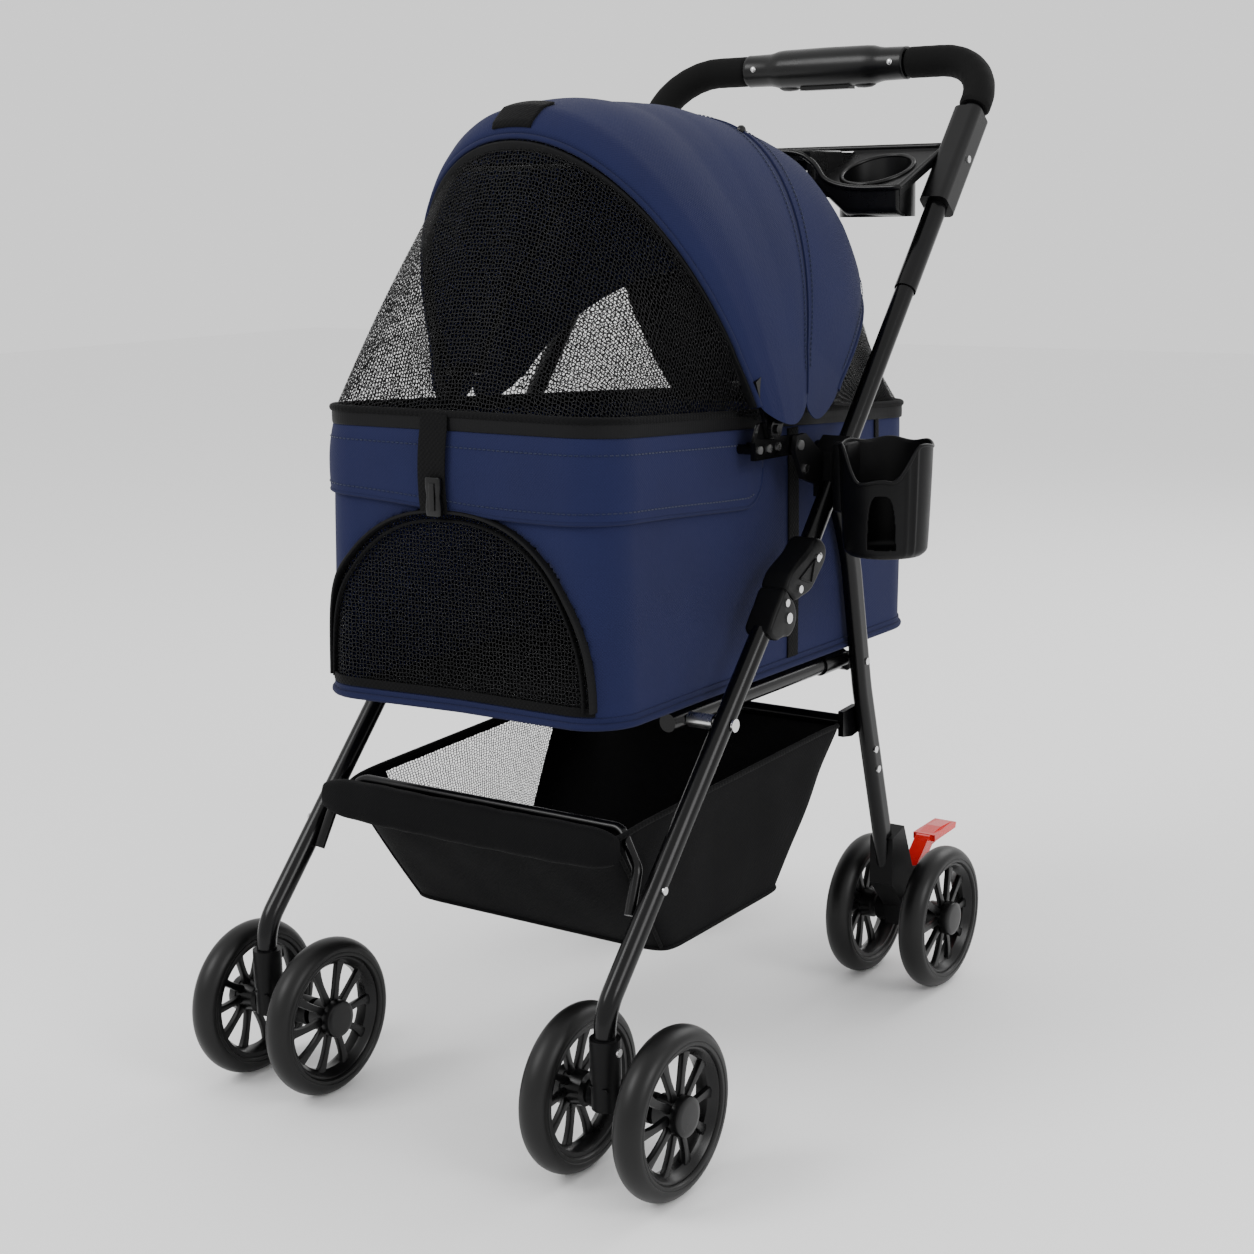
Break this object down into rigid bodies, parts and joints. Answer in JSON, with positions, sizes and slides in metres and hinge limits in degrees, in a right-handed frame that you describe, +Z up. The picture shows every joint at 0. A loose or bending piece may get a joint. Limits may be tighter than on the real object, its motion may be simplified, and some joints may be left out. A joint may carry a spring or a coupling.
{
  "type": "pet stroller",
  "caption": "Folding pet stroller with twin wheels, tubular frame, soft cabin with hooped canopy, storage basket, push handle and tray",
  "frame": {"origin": "middle of the bounding box on the ground", "axes": "+Z up, -Y is the front of the stroller, +X is the left side of the person pushing"},
  "size_m": [0.5644, 0.7814, 0.9805],
  "materials": {
    "tyre": "rounded rubber tyre, satin",
    "rim": "black moulded plastic",
    "steel": "zinc plated steel",
    "tube": "gloss black powder coat",
    "plastic": "fine textured black plastic",
    "foam": "soft black foam",
    "fabric": "navy blue woven polyester",
    "black_fabric": "black woven polyester",
    "red": "bright red plastic",
    "board": "hard pressed board"
  },
  "bodies": {
    "front_frame": {"front_leg_left": "tube", "front_leg_right": "tube", "caster_sockets": "plastic", "fold_lock_lower_left": "plastic", "fold_lock_lower_right": "plastic", "frame_pins": "steel", "basket_hoop": "tube", "basket": "black_fabric", "front_rivets": "steel"},
    "caster_left": {"caster_fork_left": "plastic", "front_axle_left": "steel"},
    "caster_right": {"caster_fork_right": "plastic", "front_axle_right": "steel"},
    "front_outer_wheel_left": {"front_outer_tyre_left": "tyre", "front_outer_rim_left": "rim"},
    "front_outer_wheel_right": {"front_outer_tyre_right": "tyre", "front_outer_rim_right": "rim"},
    "front_inner_wheel_left": {"front_inner_tyre_left": "tyre", "front_inner_rim_left": "rim"},
    "front_inner_wheel_right": {"front_inner_tyre_right": "tyre", "front_inner_rim_right": "rim"},
    "rear_outer_wheel_left": {"rear_outer_tyre_left": "tyre", "rear_outer_rim_left": "rim"},
    "rear_outer_wheel_right": {"rear_outer_tyre_right": "tyre", "rear_outer_rim_right": "rim"},
    "rear_inner_wheel_left": {"rear_inner_tyre_left": "tyre", "rear_inner_rim_left": "rim"},
    "rear_inner_wheel_right": {"rear_inner_tyre_right": "tyre", "rear_inner_rim_right": "rim"},
    "handle_frame": {"fold_lock_upper_left": "plastic", "fold_lock_upper_right": "plastic", "lower_handle_tubes": "tube", "grip_tube": "tube", "foam_grips": "foam", "fold_housing": "plastic", "parent_tray": "plastic", "frame_bracket_left": "plastic", "frame_bracket_right": "plastic", "cup_holder": "plastic", "handle_rivets": "steel"},
    "trigger": {"fold_trigger": "plastic"},
    "rear_frame": {"rear_leg_left": "tube", "rear_leg_right": "tube", "rear_axle_housings": "plastic", "rear_axles": "steel", "rear_crossbar": "tube", "rear_rivets": "steel"},
    "brake_left": {"brake_pedal_left": "red"},
    "brake_right": {"brake_pedal_right": "red"},
    "bar_left": {"side_bar_left": "tube"},
    "bar_right": {"side_bar_right": "tube"},
    "carrier": {"cabin": "fabric", "canopy": "fabric", "rim_frame": "tube", "rim_plates": "tube", "rim_rivets": "steel", "front_buckle": "plastic"},
    "base": {"base_board": "board"},
    "front_rib": {"canopy_front_rib": "tube"},
    "rear_rib": {"canopy_rear_rib": "tube"}
  },
  "joints": [
    {"name": "caster_swivel_left", "type": "hinge", "parent": "front_frame", "child": "caster_left", "pos_m": [0.17325, -0.34235, 0.104], "axis": [0, 0, 1], "continuous": true},
    {"name": "front_outer_spin_left", "type": "hinge", "parent": "caster_left", "child": "front_outer_wheel_left", "pos_m": [0.22125, -0.31575, 0.075], "axis": [1, 0, 0], "continuous": true},
    {"name": "front_inner_spin_left", "type": "hinge", "parent": "caster_left", "child": "front_inner_wheel_left", "pos_m": [0.12525, -0.31575, 0.075], "axis": [1, 0, 0], "continuous": true},
    {"name": "rear_outer_spin_left", "type": "hinge", "parent": "rear_frame", "child": "rear_outer_wheel_left", "pos_m": [0.19125, 0.24025, 0.075], "axis": [1, 0, 0], "continuous": true},
    {"name": "rear_inner_spin_left", "type": "hinge", "parent": "rear_frame", "child": "rear_inner_wheel_left", "pos_m": [0.10525, 0.24025, 0.075], "axis": [1, 0, 0], "continuous": true},
    {"name": "caster_swivel_right", "type": "hinge", "parent": "front_frame", "child": "caster_right", "pos_m": [-0.21675, -0.34235, 0.104], "axis": [0, 0, 1], "continuous": true},
    {"name": "front_outer_spin_right", "type": "hinge", "parent": "caster_right", "child": "front_outer_wheel_right", "pos_m": [-0.26475, -0.31575, 0.075], "axis": [1, 0, 0], "continuous": true},
    {"name": "front_inner_spin_right", "type": "hinge", "parent": "caster_right", "child": "front_inner_wheel_right", "pos_m": [-0.16875, -0.31575, 0.075], "axis": [1, 0, 0], "continuous": true},
    {"name": "rear_outer_spin_right", "type": "hinge", "parent": "rear_frame", "child": "rear_outer_wheel_right", "pos_m": [-0.23475, 0.24025, 0.075], "axis": [1, 0, 0], "continuous": true},
    {"name": "rear_inner_spin_right", "type": "hinge", "parent": "rear_frame", "child": "rear_inner_wheel_right", "pos_m": [-0.14875, 0.24025, 0.075], "axis": [1, 0, 0], "continuous": true},
    {"name": "main_fold", "type": "hinge", "parent": "front_frame", "child": "handle_frame", "pos_m": [-0.02175, -0.06575, 0.45], "axis": [1, 0, 0], "range_deg": [-120, 0], "deforming": ["cabin", "basket"]},
    {"name": "rear_leg_fold", "type": "hinge", "parent": "handle_frame", "child": "rear_frame", "pos_m": [-0.02175, 0.06925, 0.583], "axis": [1, 0, 0], "range_deg": [0, 64.44]},
    {"name": "side_bar_fold_left", "type": "hinge", "parent": "front_frame", "child": "bar_left", "pos_m": [0.12825, -0.15375, 0.3685], "axis": [1, 0, 0], "range_deg": [-84.6, 0]},
    {"name": "side_bar_fold_right", "type": "hinge", "parent": "front_frame", "child": "bar_right", "pos_m": [-0.17175, -0.15375, 0.3685], "axis": [1, 0, 0], "range_deg": [-84.6, 0]},
    {"name": "cabin_tilt", "type": "hinge", "parent": "handle_frame", "child": "carrier", "pos_m": [-0.02175, -0.01375, 0.601], "axis": [1, 0, 0], "range_deg": [0, 35.4]},
    {"name": "base_lift", "type": "slide", "parent": "carrier", "child": "base", "axis": [0, 0, 1], "range_m": [0, 0.043]},
    {"name": "canopy_fold", "type": "hinge", "parent": "carrier", "child": "rear_rib", "pos_m": [-0.02175, -0.05875, 0.62], "axis": [1, 0, 0], "range_deg": [-34, 0], "deforming": ["canopy"]},
    {"name": "canopy_front_follow", "type": "hinge", "parent": "rear_rib", "child": "front_rib", "pos_m": [-0.02175, -0.05875, 0.62], "axis": [1, 0, 0], "range_deg": [-40.46, 0]},
    {"name": "brake_left_press", "type": "hinge", "parent": "rear_frame", "child": "brake_left", "pos_m": [0.14825, 0.25025, 0.112], "axis": [1, 0, 0], "range_deg": [-14, 0]},
    {"name": "brake_right_press", "type": "hinge", "parent": "rear_frame", "child": "brake_right", "pos_m": [-0.19175, 0.25025, 0.112], "axis": [1, 0, 0], "range_deg": [-14, 0]},
    {"name": "trigger_push", "type": "slide", "parent": "handle_frame", "child": "trigger", "axis": [0, 0, 1], "range_m": [0, 0.0025], "stiffness_N_per_m": 800, "springref_m": -0.001}
  ],
  "couplings": [
    {"joint": "rear_leg_fold", "follows": "main_fold", "ratio": -0.537},
    {"joint": "side_bar_fold_left", "follows": "main_fold", "ratio": 0.705},
    {"joint": "side_bar_fold_right", "follows": "main_fold", "ratio": 0.705},
    {"joint": "cabin_tilt", "follows": "main_fold", "ratio": -0.295},
    {"joint": "base_lift", "follows": "main_fold", "m_per_rad": -0.02053},
    {"joint": "canopy_front_follow", "follows": "canopy_fold", "ratio": 1.19}
  ]
}
